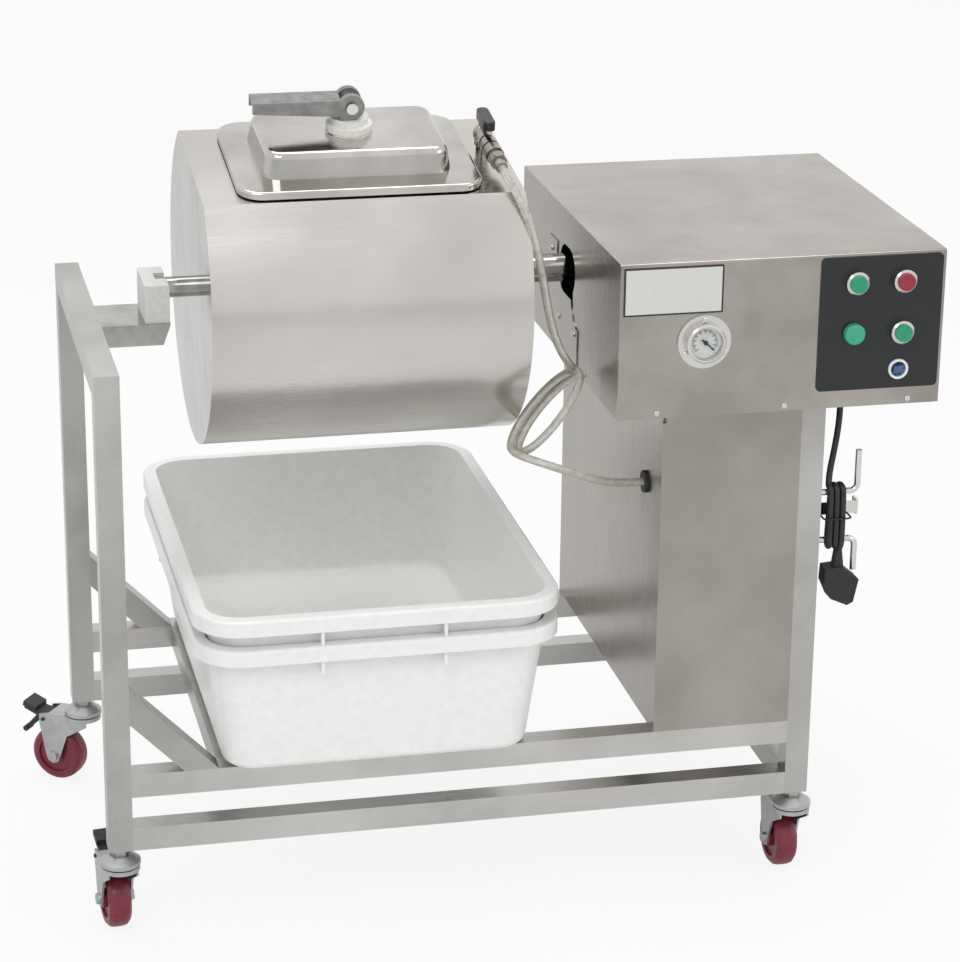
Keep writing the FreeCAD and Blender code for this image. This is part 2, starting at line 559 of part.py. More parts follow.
motor_flange = cyl(60, 10, (mid_x, AXIS_Y + 52, MOTOR_Z), (0, 1, 0))
motor = cyl(55, 118, (mid_x, AXIS_Y + 62, MOTOR_Z), (0, 1, 0))
cowl = cyl(57, 36, (mid_x, AXIS_Y + 180, MOTOR_Z), (0, 1, 0))
gear_motor = join([gear, feet, hubs, motor_flange, motor, cowl])
gear_motor = gear_motor.cut(cyl(SHAFT_R + RUN, 140, (GEAR_X0 - 20, AXIS_Y, AXIS_Z), (1, 0, 0)))
put("gear_motor", gear_motor)

# ---- vacuum pump in the foot of the column, with a riser to the hose barb ----
pz = RAIL_TOP + 2
PUMP_X = COL_X0 + COLUMN_W / 2 - 1.0         # middle of the pump
pump_foot = box(PUMP_X - 60, PUMP_X + 60, 130, 350, pz, pz + 10)
pump_body = box(PUMP_X - 52, PUMP_X + 52, 150, 250, pz + 10, pz + 120)
pump_body = pump_body.makeFillet(8.0, [e for e in pump_body.Edges if e.BoundBox.ZLength > 80])
pump_motor = cyl(48, 120, (PUMP_X, 250, pz + 66), (0, 1, 0))
elbow_y = GROMMET_Y
RISER_X = COL_X0 + 76.0
RISER_R = 7.0
arm_z = pz + 80
arm = cyl(RISER_R, 92, (RISER_X, elbow_y, arm_z), (0, 1, 0))
riser = cyl(RISER_R, GROMMET_Z - arm_z, (RISER_X, elbow_y, arm_z), (0, 0, 1))
spout = cyl(RISER_R, 36, (RISER_X - 36, elbow_y, GROMMET_Z), (1, 0, 0))
elbows = [Part.makeSphere(RISER_R + 3, V(RISER_X, elbow_y, z)) for z in (arm_z, GROMMET_Z)]
BARB_X = COL_X0 + 8.0
BARB_R = HOSE_R - 2.0
barb = cyl(BARB_R, 34, (BARB_X, elbow_y, GROMMET_Z), (1, 0, 0))
put("vacuum_pump", join([pump_foot, pump_body, pump_motor, arm, riser, spout, barb] + elbows))

# ======================================================================================
# Drum
# ======================================================================================
def flatted(x0, x1, inset):
    c = cyl(DRUM_R - inset, x1 - x0, (x0, 0, 0), (1, 0, 0))
    return c.common(box(x0 - 1, x1 + 1, -400, 400, -400, FLAT_W - inset))


mx0, mx1 = LID_X - MOUTH_L / 2, LID_X + MOUTH_L / 2
my = MOUTH_D / 2
MOUTH_R = 24.0
COLLAR = 14.0
shell = flatted(DRUM_X0, DRUM_X1, 0).cut(flatted(DRUM_X0 - 2, DRUM_X1 + 2, DRUM_WALL))
shell = shell.cut(slab(mx0, mx1, -my, my, MOUTH_R, FLAT_W - 10, FLAT_W + 10))
collar = slab(mx0 - 2, mx1 + 2, -my - 2, my + 2, MOUTH_R + 2, FLAT_W - COLLAR, FLAT_W - DRUM_WALL)
collar = collar.cut(slab(mx0, mx1, -my, my, MOUTH_R, FLAT_W - COLLAR - 1, FLAT_W))
VALVE_X, VALVE_V = DRUM_X1 - 28.5, 7.0
PORT_R = 4.0
shell = shell.cut(cyl(PORT_R, 20, (VALVE_X, VALVE_V, FLAT_W - 10), (0, 0, 1)))
put("drum_shell", on_drum(join([shell, collar])))

ends = []
for x, r in ((DRUM_X0, STUB_R), (DRUM_X1 - END_T, SLEEVE_R)):
    e = flatted(x, x + END_T, DRUM_WALL)
    ends.append(e.cut(cyl(r, 20, (x - 5, 0, 0), (1, 0, 0))))
put("drum_ends", on_drum(group(ends)))

stub = join([cyl(STUB_R, DRUM_X0 + 15 - STUB_X0, (STUB_X0, 0, 0), (1, 0, 0)),
             cyl(35, 5, (DRUM_X0 + END_T, 0, 0), (1, 0, 0))])
SLEEVE_X1 = HEAD_X0 + 20.0
SHAFT_X1 = GEAR_X1 + 16.0
drive = join([cyl(SLEEVE_R, SLEEVE_X1 - DRUM_X1 + 10, (DRUM_X1 - 10, 0, 0), (1, 0, 0)),
              cyl(40, 5, (DRUM_X1 - END_T - 5, 0, 0), (1, 0, 0)),
              cyl(SHAFT_R, SHAFT_X1 - SLEEVE_X1, (SLEEVE_X1, 0, 0), (1, 0, 0))])
put("drum_shafts", on_drum(group([stub, drive])))

FIN_H = 34.0
fins = []
for a in (205.0, 270.0, 335.0):
    r1 = DRUM_R - DRUM_WALL
    fin = box(DRUM_X0 + 22, DRUM_X1 - 22, r1 - FIN_H, r1 + 2, -1.5, 1.5)
    fin = fin.common(cyl(r1, DRUM_X1 - DRUM_X0, (DRUM_X0, 0, 0), (1, 0, 0)))
    edge = cyl(4.0, DRUM_X1 - DRUM_X0 - 44, (DRUM_X0 + 22, r1 - FIN_H, 0), (1, 0, 0))
    fins.append(turn(join([fin, edge]), (0, 0, 0), (1, 0, 0), a))
put("drum_fins", on_drum(group(fins)))

# ---- vacuum valve and coupling on the flat ----
VALVE_W = FLAT_W + 27.0
SPOUT_V = -22.0
socket = cyl(6.8, 14.0, (VALVE_X, VALVE_V, FLAT_W), (0, 0, 1))
riser_v = cyl(9.0, 18.0, (VALVE_X, VALVE_V, FLAT_W + 12.0), (0, 0, 1))
ball = Part.makeSphere(12.0, V(VALVE_X, VALVE_V - 3, VALVE_W))
barrel = cyl(9.5, VALVE_V - SPOUT_V + 4, (VALVE_X, VALVE_V + 4, VALVE_W), (0, -1, 0))
neck = cyl(5.5, 18.0, (VALVE_X, VALVE_V - 3, VALVE_W), (0, 0, 1))
valve = join([socket, riser_v, ball, barrel, neck])
valve = valve.cut(cyl(PORT_R, 34, (VALVE_X, VALVE_V, FLAT_W - 5), (0, 0, 1)))
STEM_TOP = VALVE_W + 18.0
valve = valve.cut(cyl(2.5 + RUN, 10, (VALVE_X, VALVE_V - 3, STEM_TOP - 8), (0, 0, 1)))
put("vacuum_valve", on_drum(valve))
knob = slab(VALVE_X - 7.5, VALVE_X + 7.5, VALVE_V - 42, VALVE_V + 9, 7.0, STEM_TOP + GAP, STEM_TOP + 12)
knob = knob.makeFillet(2.0, [e for e in knob.Edges if e.BoundBox.ZLength < 0.1
                             and abs(e.BoundBox.ZMax - STEM_TOP - 12) < 0.1])
knob_stem = cyl(2.5, 7.5 + GAP, (VALVE_X, VALVE_V - 3, STEM_TOP - 7.5), (0, 0, 1))
put("valve_handle", on_drum(join([knob, knob_stem])))

# quick coupling, leaning a little off the valve's own line
COUPLER_L = 62.0
COUPLER_YAW = 5.0
COUPLER_DIP = 8.0
segs = [(8.5, 0.0, 6.0), (11.0, 6.0, 10.0), (9.0, 16.0, 4.0), (11.5, 20.0, 14.0), (8.5, 34.0, 5.0),
        (10.0, 39.0, 11.0), (7.5, 50.0, 12.0)]
coupler = join([cyl(r, length + 0.01, (0, -at, 0), (0, -1, 0)) for r, at, length in segs])
nut = prism([(11.3 * math.cos(math.radians(60 * k)), -39.5, 11.3 * math.sin(math.radians(60 * k)))
             for k in range(6)], (0, -9.0, 0))
coupler = join([coupler, nut])
coupler = coupler.cut(cyl(HOSE_R - 1.5, COUPLER_L + 2, (0, 1, 0), (0, -1, 0)))
coupler = coupler.cut(cyl(HOSE_R + RUN, 14.0, (0, -COUPLER_L + 12, 0), (0, -1, 0)))
coupler = turn(coupler, (0, 0, 0), (1, 0, 0), COUPLER_DIP)
coupler = turn(coupler, (0, 0, 0), (0, 0, 1), COUPLER_YAW)
coupler = moved(coupler, VALVE_X, SPOUT_V, VALVE_W)
coupler = coupler.cut(barrel)
put("hose_coupler", on_drum(coupler))

# ======================================================================================
# Lid and its clamp
# ======================================================================================
lx0, lx1, ly = LID_X - LID_L / 2, LID_X + LID_L / 2, LID_D / 2
LIP_W = FLAT_W + 2.0
GASKET_T = 4.5


def pan_body(inset, top, flange_top, low):
    """The lid's outline: a flange with a turned-down edge and a raised dome."""
    plate_s = slab(lx0 + inset, lx1 - inset, -ly + inset, ly - inset, LID_R - inset, low, flange_top)
    rim_e = [e for e in plate_s.Edges if abs(e.BoundBox.ZMin - flange_top) < 0.05
             and e.BoundBox.ZLength < 0.1]
    plate_s = plate_s.makeFillet(4.0 - inset, rim_e)
    dx, dy = DOME_L / 2 - inset, DOME_D / 2 - inset
    grow = 6.0                                        # the dome widens towards the flange
    foot_w = round_rect(LID_X - dx - grow, LID_X + dx + grow, -dy - grow, dy + grow,
                        24.0, flange_top - 1.0)
    head_w = round_rect(LID_X - dx, LID_X + dx, -dy, dy, 20.0, top)
    dome = loft([foot_w, head_w])
    dome_e = [e for e in dome.Edges if abs(e.BoundBox.ZMin - top) < 0.05 and e.BoundBox.ZLength < 0.1]
    return plate_s.fuse(dome.makeFillet(9.0 - inset, dome_e)).removeSplitter()


outer = pan_body(0.0, DOME_W, FLANGE_W, LIP_W)
inner = pan_body(LID_T, DOME_W - LID_T, FLANGE_W - LID_T, LIP_W - 5)
lid = outer.cut(inner)
CENTRE_HOLE = ROD_R + RUN
SEAT_W = DOME_W + 1.0
seat = ring(31.0, CENTRE_HOLE, SEAT_W - DOME_W + LID_T, (LID_X, 0, DOME_W - LID_T), (0, 0, 1))
seat = seat.makeChamfer(0.8, [e for e in seat.Edges if abs(e.BoundBox.ZMin - SEAT_W) < 0.05
                              and e.BoundBox.XLength > 50][:1])
lid = lid.cut(cyl(CENTRE_HOLE, 20, (LID_X, 0, DOME_W - 10), (0, 0, 1))).fuse(seat).removeSplitter()
put("lid_pan", on_drum(lid))

gx, gy = MOUTH_L / 2 + 5, MOUTH_D / 2 + 5
GASKET_IN_X, GASKET_IN_Y = 11.5, 13.5         # the gasket's edge inside the lid's edge
gasket = slab(lx0 + GASKET_IN_X, lx1 - GASKET_IN_X, -ly + GASKET_IN_Y, ly - GASKET_IN_Y, 40.0,
              FLAT_W + GAP, FLANGE_W - LID_T)
gasket = gasket.cut(slab(LID_X - gx, LID_X + gx, -gy, gy, 24.0, FLAT_W - 5, FLANGE_W + 5))
put("lid_gasket", on_drum(gasket))

w_low = ring(28.2, ROD_R + RUN, 9.0, (LID_X, 0, SEAT_W), (0, 0, 1))
w_low = w_low.makeFillet(2.0, [e for e in w_low.Edges if abs(e.BoundBox.ZMin - SEAT_W - 9) < 0.05
                               and e.BoundBox.XLength > 50][:1])
w_high = ring(23.0, ROD_R + RUN, WASHER_W - SEAT_W - 9.0, (LID_X, 0, SEAT_W + 9.0), (0, 0, 1))
put("clamp_washer", on_drum(join([w_low, w_high])))

BAR_TOP = FLAT_W - COLLAR - 1.0
bar = slab(LID_X - BAR_L / 2, LID_X + BAR_L / 2, -11, 11, 9.0, BAR_TOP - 12, BAR_TOP)
rod = cyl(ROD_R, PIN_W - 9 - BAR_TOP + 10, (LID_X, 0, BAR_TOP - 10), (0, 0, 1))
lower_nut = cyl(10.0, 8.0, (LID_X, 0, BAR_TOP - 20), (0, 0, 1))
eye = cyl(9.5, 16.0, (LID_X, -8, PIN_W), (0, 1, 0))
eye = eye.cut(cyl(PIN_R, 40, (LID_X, -20, PIN_W), (0, 1, 0)))
stem_hole = cyl(PIN_R, 40, (LID_X, -20, PIN_W), (0, 1, 0))
clamp = join([bar, rod, lower_nut, eye]).cut(stem_hole)
pin_len = LEVER_B + 4.0
pin = cyl(PIN_R, pin_len, (LID_X, -pin_len / 2, PIN_W), (0, 1, 0))
pin_heads = [cyl(PIN_R + 2.0, 2.4, (LID_X, s * (pin_len / 2 + (0 if s > 0 else 2.4)) - (0 if s > 0 else 0), PIN_W),
                 (0, 1, 0)) for s in (1,)]
pin_heads.append(cyl(PIN_R + 2.0, 2.4, (LID_X, -pin_len / 2 - 2.4, PIN_W), (0, 1, 0)))
put("clamp_bar", on_drum(group([clamp, join([pin] + pin_heads)])))

# cast lever: a channel open below, cheeks flat where they press on the washer
top_w = PIN_W + LEVER_TOP
cam_w = WASHER_W + GAP
half = LEVER_B / 2
skin = 4.0
ex = LID_X - LEVER_L
cheek_x = LID_X - EYE_R + 2.0
side_face = [(ex, 0, PIN_W - 4), (ex, 0, top_w), (LID_X - 11, 0, top_w), (LID_X, 0, top_w - 3),
             (LID_X, 0, cam_w), (cheek_x, 0, cam_w), (cheek_x, 0, PIN_W - 10.8),
             (LID_X - 45, 0, PIN_W - 9)]
body = moved(prism(side_face, (0, LEVER_B, 0)), 0, -half, 0)
eye_c = cyl(EYE_R, LEVER_B, (LID_X, -half, PIN_W), (0, 1, 0))
lever = join([body, eye_c])
channel = [(ex - 5, 0, cam_w - 10), (ex - 5, 0, top_w - skin), (LID_X - 12, 0, top_w - skin),
           (LID_X - 12, 0, cam_w - 10)]
lever = lever.cut(moved(prism(channel, (0, LEVER_B - 2 * skin, 0)), 0, -half + skin, 0))
lever = lever.cut(box(LID_X - 13, LID_X + 30, -8.3, 8.3, cam_w - 20, top_w + 20))
lever = lever.cut(cyl(PIN_R + RUN, 60, (LID_X, -30, PIN_W), (0, 1, 0)))
put("clamp_lever", on_drum(lever))

# ======================================================================================
# Tubs
# ======================================================================================
def tub(z0):
    wx0, wx1 = TUB_X0 + TUB_LIP, TUB_X1 - TUB_LIP
    wy0, wy1 = TUB_Y0 + TUB_LIP, TUB_Y1 - TUB_LIP
    tx, ty, w = TUB_TAPER_X, TUB_TAPER_Y, TUB_WALL
    foot_r, top_r = 42.0, 46.0
    out = loft([round_rect(wx0 + tx, wx1 - tx, wy0 + ty, wy1 - ty, foot_r, z0),
                round_rect(wx0, wx1, wy0, wy1, top_r, z0 + TUB_H)])
    out = out.makeFillet(12.0, [e for e in out.Edges
                                if abs(e.BoundBox.ZMax - z0) < 0.05])
    k = w / TUB_H
    hol = loft([round_rect(wx0 + tx * (1 - k) + w, wx1 - tx * (1 - k) - w, wy0 + ty * (1 - k) + w,
                           wy1 - ty * (1 - k) - w, foot_r - w, z0 + w),
                round_rect(wx0 + w, wx1 - w, wy0 + w, wy1 - w, top_r - w, z0 + TUB_H)])
    hol = hol.makeFillet(9.5, [e for e in hol.Edges if abs(e.BoundBox.ZMax - z0 - w) < 0.05])
    walls = out.cut(hol)
    top = z0 + TUB_H
    rim_r = top_r + TUB_LIP
    lip = slab(TUB_X0, TUB_X1, TUB_Y0, TUB_Y1, rim_r, top - TUB_RIM_H, top)
    lip = lip.makeFillet(4.0, [e for e in lip.Edges if abs(e.BoundBox.ZMin - top) < 0.05])
    lip = lip.cut(slab(TUB_X0 + w, TUB_X1 - w, TUB_Y0 + w, TUB_Y1 - w, rim_r - w,
                       top - TUB_RIM_H - 1, top - w))
    lip = lip.cut(slab(wx0 + w, wx1 - w, wy0 + w, wy1 - w, top_r - w, top - w - 1, top + 1))
    ribs = []
    low = top - TUB_NEST + GAP
    mid_y = (TUB_Y0 + TUB_Y1) / 2
    third = (TUB_X1 - TUB_X0) / 3
    for x in (TUB_X0 + third, TUB_X1 - third):
        ribs.append(box(x - 2, x + 2, TUB_Y0 + 3, wy0 + 4, low, top - w))
        ribs.append(box(x - 2, x + 2, wy1 - 4, TUB_Y1 - 3, low, top - w))
    for y in (mid_y - 110, mid_y + 110):
        ribs.append(box(TUB_X0 + 3, wx0 + 6, y - 2, y + 2, low, top - w))
        ribs.append(box(wx1 - 6, TUB_X1 - 3, y - 2, y + 2, low, top - w))
    ribs = [r.cut(hol) for r in ribs]
    return join([walls, lip] + ribs)


TUB_Z = RAIL_TOP + GAP
lower = tub(TUB_Z)
put("lower_tub", lower)
put("upper_tub", moved(lower, 0, 0, TUB_NEST))

# ======================================================================================
# Casters: drawn with the wheel trailing along +X from the stem, then turned
# ======================================================================================
PLATE_CZ = -22.0         # underside of the fixed race plate
CROWN_Z = -24.0          # top of the fork's crown
AXLE_Z = -CASTER_H + WHEEL_R
FORK_T = 2.6
FORK_HALF = 17.0         # inside of a fork leg
POSTS = {"fl": (TUBE / 2, TUBE / 2, 97.0), "bl": (TUBE / 2, FRAME_D - TUBE / 2, 145.0),
         "fr": (FRAME_L - TUBE / 2, TUBE / 2, 92.0),
         "br": (FRAME_L - TUBE / 2, FRAME_D - TUBE / 2, 110.0)}


def caster_mount():
    half_in = TUBE / 2 - TUBE_WALL
    plug = box(-half_in, half_in, -half_in, half_in, 0, 5)
    nut_s = prism([(11 * math.cos(math.radians(60 * k)), 11 * math.sin(math.radians(60 * k)), -9)
                   for k in range(6)], (0, 0, 9))
    stem = cyl(STEM_R, 52, (0, 0, -32), (0, 0, 1))
    race = cone(25, 14, 8.0, (0, 0, PLATE_CZ + 5), (0, 0, 1)).fuse(
        cyl(25, 5.0, (0, 0, PLATE_CZ), (0, 0, 1)))
    head = cyl(10, 4, (0, 0, -34), (0, 0, 1))
    return join([plug, nut_s, stem, race, head])


def fork(pedal):
    crown = cyl(24, 5.6, (0, 0, CROWN_Z - 5.6), (0, 0, 1))
    crown = join([crown, box(-14, 44, -FORK_HALF - FORK_T, FORK_HALF + FORK_T, CROWN_Z - 5.6, CROWN_Z)])
    crown = crown.cut(cyl(STEM_R + RUN, 40, (0, 0, CROWN_Z - 20), (0, 0, 1)))
    crown = crown.cut(cyl(11, 3.0, (0, 0, CROWN_Z - 5.6 - 0.01), (0, 0, 1)))
    low = AXLE_Z
    leg = [(-14, 0, CROWN_Z), (44, 0, CROWN_Z), (58, 0, CROWN_Z - 3), (58, 0, CROWN_Z - 16),
           (50, 0, low + 6), (TRAIL + 8, 0, low - 7), (TRAIL, 0, low - 11),
           (TRAIL - 8, 0, low - 7), (16, 0, CROWN_Z - 30), (-14, 0, CROWN_Z - 12)]
    legs = [moved(prism(leg, (0, FORK_T, 0)), 0, y, 0) for y in (FORK_HALF, -FORK_HALF - FORK_T)]
    frame_s = join([crown] + legs)
    frame_s = frame_s.cut(cyl(AXLE_R, 80, (TRAIL, -40, AXLE_Z), (0, 1, 0)))
    if pedal:
        frame_s = frame_s.cut(cyl(2.5 + RUN, 80, (52, -40, CROWN_Z - 10), (0, 1, 0)))
    span = 2 * (FORK_HALF + FORK_T)
    bolt = cyl(AXLE_R, span, (TRAIL, -span / 2, AXLE_Z), (0, 1, 0))
    heads = [cyl(7.0, 4.0, (TRAIL, y, AXLE_Z), (0, 1, 0)) for y in (-span / 2 - 4, span / 2)]
    return group([frame_s, join([bolt] + heads)])


def wheel():
    half_b = WHEEL_B / 2
    profile = [(TRAIL, -half_b, 30), (TRAIL, -half_b, 32), (TRAIL, -half_b + 4, 36.4),
               (TRAIL, -half_b + 9, WHEEL_R), (TRAIL, half_b - 9, WHEEL_R), (TRAIL, half_b - 4, 36.4),
               (TRAIL, half_b, 32), (TRAIL, half_b, 30)]
    pts = [V(x, y, AXLE_Z + z) for x, y, z in profile]
    tyre = Part.Face(Part.makePolygon(pts + [pts[0]]))
    tyre = tyre.revolve(V(TRAIL, 0, AXLE_Z), V(0, 1, 0), 360)
    hub_b = 2 * FORK_HALF - 2 * GAP
    core = join([cyl(30, 22, (TRAIL, -11, AXLE_Z), (0, 1, 0)),
                 cyl(12, hub_b, (TRAIL, -hub_b / 2, AXLE_Z), (0, 1, 0)),
                 ring(30, 25, WHEEL_B, (TRAIL, -half_b, AXLE_Z), (0, 1, 0))])
    core = core.cut(cyl(AXLE_R + RUN, 60, (TRAIL, -30, AXLE_Z), (0, 1, 0)))
    return group([tyre, core])


def brake_pedal():
    pz_ = CROWN_Z - 10
    pin_b = 2 * (FORK_HALF + FORK_T) + 4
    pin_s = cyl(2.5, pin_b, (52, -pin_b / 2, pz_), (0, 1, 0))
    web = prism([(47, -14, pz_ - 4), (60, -14, pz_ - 4), (66, -14, pz_ + 2), (84, -14, pz_ + 9),
                 (84, -14, pz_ + 12), (62, -14, pz_ + 6), (47, -14, pz_ + 5)], (0, 28, 0))
    web = web.cut(box(40, 57, -11.5, 11.5, pz_ - 20, pz_ + 4))
    pad = prism([(66, -15, pz_ + 6), (86, -15, pz_ + 13), (84, -15, pz_ + 20), (66, -15, pz_ + 13)],
                (0, 30, 0))
    hook = prism([(60, -6, pz_ - 4), (66, -6, pz_ + 2), (88, -6, pz_ - 22), (84, -6, pz_ - 26)],
                 (0, 12, 0))
    toe = cyl(4.0, 16, (87, -8, pz_ - 25), (0, 1, 0))
    return join([pin_s, web, pad, hook, toe])


mounts = []
for key, (x, y, deg) in POSTS.items():
    mounts.append(moved(caster_mount(), x, y, 0))
    braked = key in ("fl", "bl")
    put("fork_" + key, moved(turn(fork(braked), (0, 0, 0), (0, 0, 1), deg), x, y, 0))
    put("wheel_" + key, moved(turn(wheel(), (0, 0, 0), (0, 0, 1), deg), x, y, 0))
    if braked:
        put("pedal_" + key, moved(turn(brake_pedal(), (0, 0, 0), (0, 0, 1), deg), x, y, 0))
put("caster_mounts", group(mounts))

# ======================================================================================
# Cord hooks, mains cord and plug
# ======================================================================================
HOOK_Y = TUBE / 2
HOOK_R = 4.0
HOOK_X = FRAME_L + 51.0
HOOK_HIGH, HOOK_LOW = HEAD_Z - 122.0, HEAD_Z - 185.0
HOOK_BEND = 9.0


def hook(z, tip):
    s = 1 if tip > z else -1
    k = HOOK_BEND
    mid = V(HOOK_X - k + k * math.sin(math.pi / 4), HOOK_Y, z + s * (k - k * math.cos(math.pi / 4)))
    path = Part.Wire([Part.LineSegment(V(FRAME_L, HOOK_Y, z), V(HOOK_X - k, HOOK_Y, z)).toShape(),
                      Part.Arc(V(HOOK_X - k, HOOK_Y, z), mid, V(HOOK_X, HOOK_Y, z + s * k)).toShape(),
                      Part.LineSegment(V(HOOK_X, HOOK_Y, z + s * k), V(HOOK_X, HOOK_Y, tip)).toShape()])
    disc = Part.Wire([Part.makeCircle(HOOK_R, V(FRAME_L, HOOK_Y, z), V(1, 0, 0))])
    return path.makePipeShell([disc], True, True)


TAB_Y = HOOK_Y + HOOK_R + 0.4 + 2 * CORD_R + GAP      # stands just behind the coil
TAB_X1 = FRAME_L + 58.0
tab = join([box(FRAME_L, TAB_X1, TAB_Y, TAB_Y + 2.2, HOOK_HIGH - 35, HOOK_HIGH - 19),
            box(TAB_X1 - 3, TAB_X1, TAB_Y, 42, HOOK_HIGH - 37, HOOK_HIGH - 17)])
put("cord_hooks", group([hook(HOOK_HIGH, HOOK_HIGH + 53.0), hook(HOOK_LOW, HOOK_LOW - 42.0), tab]))

GLAND_R = 11.0
gland = join([cyl(GLAND_HOLE_R - 0.2, 14, (CORD_X, CORD_Y, HEAD_Z - 4), (0, 0, 1)),
              cyl(GLAND_R, 12, (CORD_X, CORD_Y, HEAD_Z - 12), (0, 0, 1)),
              cyl(GLAND_R + 1, 5, (CORD_X, CORD_Y, HEAD_Z + SHEET), (0, 0, 1))])
gland = gland.cut(cyl(CORD_R + 0.1, 60, (CORD_X, CORD_Y, HEAD_Z - 30), (0, 0, 1)))
put("cord_gland", gland)

# the coiled cord hangs on the two hooks: one closed ring round both rods
HANK_X0, HANK_X1 = FRAME_L + 8.0, FRAME_L + 40.0
slack = HOOK_R + 0.4


def stadium(r):
    lo, hi = V(HANK_X0, HOOK_Y, HOOK_LOW), V(HANK_X0, HOOK_Y, HOOK_HIGH)
    n = V(HANK_X1 - HANK_X0, 0, 0)
    body_s = Part.makeBox(n.x, 2 * r, HOOK_HIGH - HOOK_LOW, V(HANK_X0, HOOK_Y - r, HOOK_LOW))
    return join([body_s, Part.makeCylinder(r, n.x, lo, V(1, 0, 0)),
                 Part.makeCylinder(r, n.x, hi, V(1, 0, 0))])


hank = stadium(slack + 2 * CORD_R).cut(moved(stadium(slack), 0, 0, 0))
put("cord_hank", hank)

cord_route = [(CORD_X, CORD_Y, HEAD_Z + 12), (CORD_X, CORD_Y, HEAD_Z - 18),
              (920.5, 36.0, 479.0), (916.0, 24.0, 453.0), (913.0, HOOK_Y, 425.0),
              (912.5, HOOK_Y - 1, 409.0)]
cord = limp_tube(cord_route, CORD_R).cut(stadium(slack + 2 * CORD_R))
put("power_cord", cord)

# right-angle plug hanging under the coil
PLUG_X, PLUG_Y = FRAME_L + 32.0, 6.0
hank_low = HOOK_LOW - slack - 2 * CORD_R
relief = cone(5.2, 8.5, 26, (PLUG_X - 2, PLUG_Y + 9, hank_low - 0.2), (0, 0, -1))
shell_p = [(PLUG_X - 20, PLUG_Y - 2, hank_low - 24), (PLUG_X + 2, PLUG_Y - 2, hank_low - 22),
           (PLUG_X + 24, PLUG_Y - 2, hank_low - 40), (PLUG_X + 18, PLUG_Y - 2, hank_low - 70),
           (PLUG_X + 10, PLUG_Y - 2, hank_low - 74), (PLUG_X - 12, PLUG_Y - 2, hank_low - 64),
           (PLUG_X - 21, PLUG_Y - 2, hank_low - 44)]
plug = prism(shell_p, (0, 24, 0))
plug = join([plug, relief])
pins = [cyl(2.4, 19, (PLUG_X + s, PLUG_Y + 22, hank_low - 48), (0, 1, 0)) for s in (-9.5, 9.5)]
put("power_plug", join([plug] + pins))

# ======================================================================================
# Vacuum hose: from the coupling on the drum, down the gap, two loose turns, then the grommet
# ======================================================================================
def hose_start():
    """Bottom of the coupling's bore and a point along its line, in the frame's axes."""
    d, y = math.radians(COUPLER_DIP), math.radians(COUPLER_YAW)
    line = (math.sin(y) * math.cos(d), -math.cos(y) * math.cos(d), -math.sin(d))
    out = []
    for t in (COUPLER_L - 11.5, COUPLER_L + 26.0):
        out.append(drum_point(VALVE_X + line[0] * t, SPOUT_V + line[1] * t, VALVE_W + line[2] * t))
    return out


LOOP_R = 60.0            # radius of the loose turns
LOOP_SIDES = 8           # corners in one turn
LOOP_LEAN = 50.0         # the turns' long way leans this far from level
LOOP_FACE = 7.0          # the turns stand this far off square to the operator's side
LOOP_FROM = 30.0         # where the hanging part joins the first turn
LOOP_MID = (567.0, 80.0, 502.0)
LOOP_DRIFT = (-1.1, 0.0, 0.8)     # how far the middle moves from one corner to the next


def loop_point(k):
    """Corner k of the loose turns, which hang nearly edge on to the operator."""
    r = LOOP_R / math.cos(math.pi / LOOP_SIDES)
    a = math.radians(LOOP_FROM + 360.0 / LOOP_SIDES * k)
    lean, facing = math.radians(LOOP_LEAN), math.radians(LOOP_FACE)
    long_way = (math.cos(lean), 0.0, math.sin(lean))
    cross_way = (math.sin(facing) * math.sin(lean), math.cos(facing),
                 -math.sin(facing) * math.cos(lean))
    return tuple(LOOP_MID[i] + LOOP_DRIFT[i] * k + r * (math.cos(a) * long_way[i]
                 + math.sin(a) * cross_way[i]) for i in range(3))


start, ahead = hose_start()
hang = [(521.5, 88.0, 776.0), (533.0, 71.0, 744.0), (541.5, 62.0, 706.0), (548.0, 58.5, 666.0),
        (556.0, 60.0, 627.0), (568.0, 66.0, 592.0), (587.5, 84.0, 562.0)]
loops = [loop_point(k) for k in range(12)]
tail = [(512.0, 62.0, 462.0), (527.0, 34.0, 462.0), (552.0, 23.0, 455.0), (581.0, 25.0, 443.0),
        (610.0, 37.0, 429.0), (638.0, 53.5, 417.0), (668.0, GROMMET_Y, GROMMET_Z),
        (700.0, GROMMET_Y, GROMMET_Z)]
hose = limp_tube([start, ahead] + hang + loops + tail, HOSE_R)
put("vacuum_hose", hose.cut(cyl(BARB_R, 30, (BARB_X, GROMMET_Y, GROMMET_Z), (1, 0, 0))))
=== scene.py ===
import bpy, bmesh, math, random
from mathutils import Vector, Matrix


